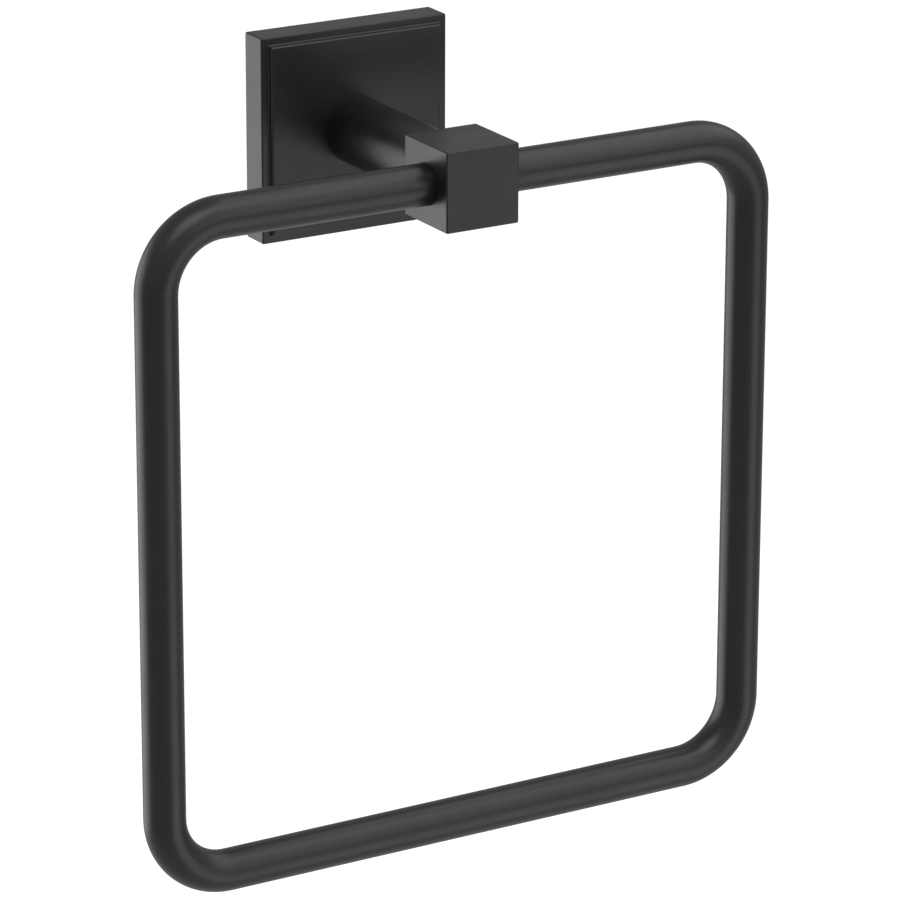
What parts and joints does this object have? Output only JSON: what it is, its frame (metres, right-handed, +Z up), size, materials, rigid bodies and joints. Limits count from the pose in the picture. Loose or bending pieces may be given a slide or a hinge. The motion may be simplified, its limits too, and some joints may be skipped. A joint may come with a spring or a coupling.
{
  "type": "towel ring",
  "caption": "Square towel ring: a round tube bent to a rounded square swings in the square head of a round post on a square wall plate with a raised panel.",
  "frame": {"origin": "in the wall plane, midway between the two screw holes of the bracket", "axes": "+Z up, +Y into the wall, +X to the right for someone facing the wall; the ring hangs in front, towards -Y"},
  "size_m": [0.1752, 0.07, 0.1965],
  "materials": {
    "coated_casting": "matte black coat on a zinc casting",
    "coated_tube": "matte black coat on bent steel tube",
    "plated_steel": "zinc-plated steel",
    "blackened_steel": "black-oxide steel"
  },
  "bodies": {
    "wall_mount": {"wall_plate": "coated_casting", "post": "coated_casting", "post_washer": "plated_steel", "post_screw": "plated_steel", "ring_retaining_screw": "blackened_steel", "wall_bracket": "plated_steel", "bracket_set_screw": "blackened_steel"},
    "ring": {"ring": "coated_tube"}
  },
  "joints": [
    {"name": "ring_swing", "type": "hinge", "parent": "wall_mount", "child": "ring", "pos_m": [0, -0.06, 0], "axis": [-1, 0, 0], "range_deg": [-19, 199]}
  ]
}
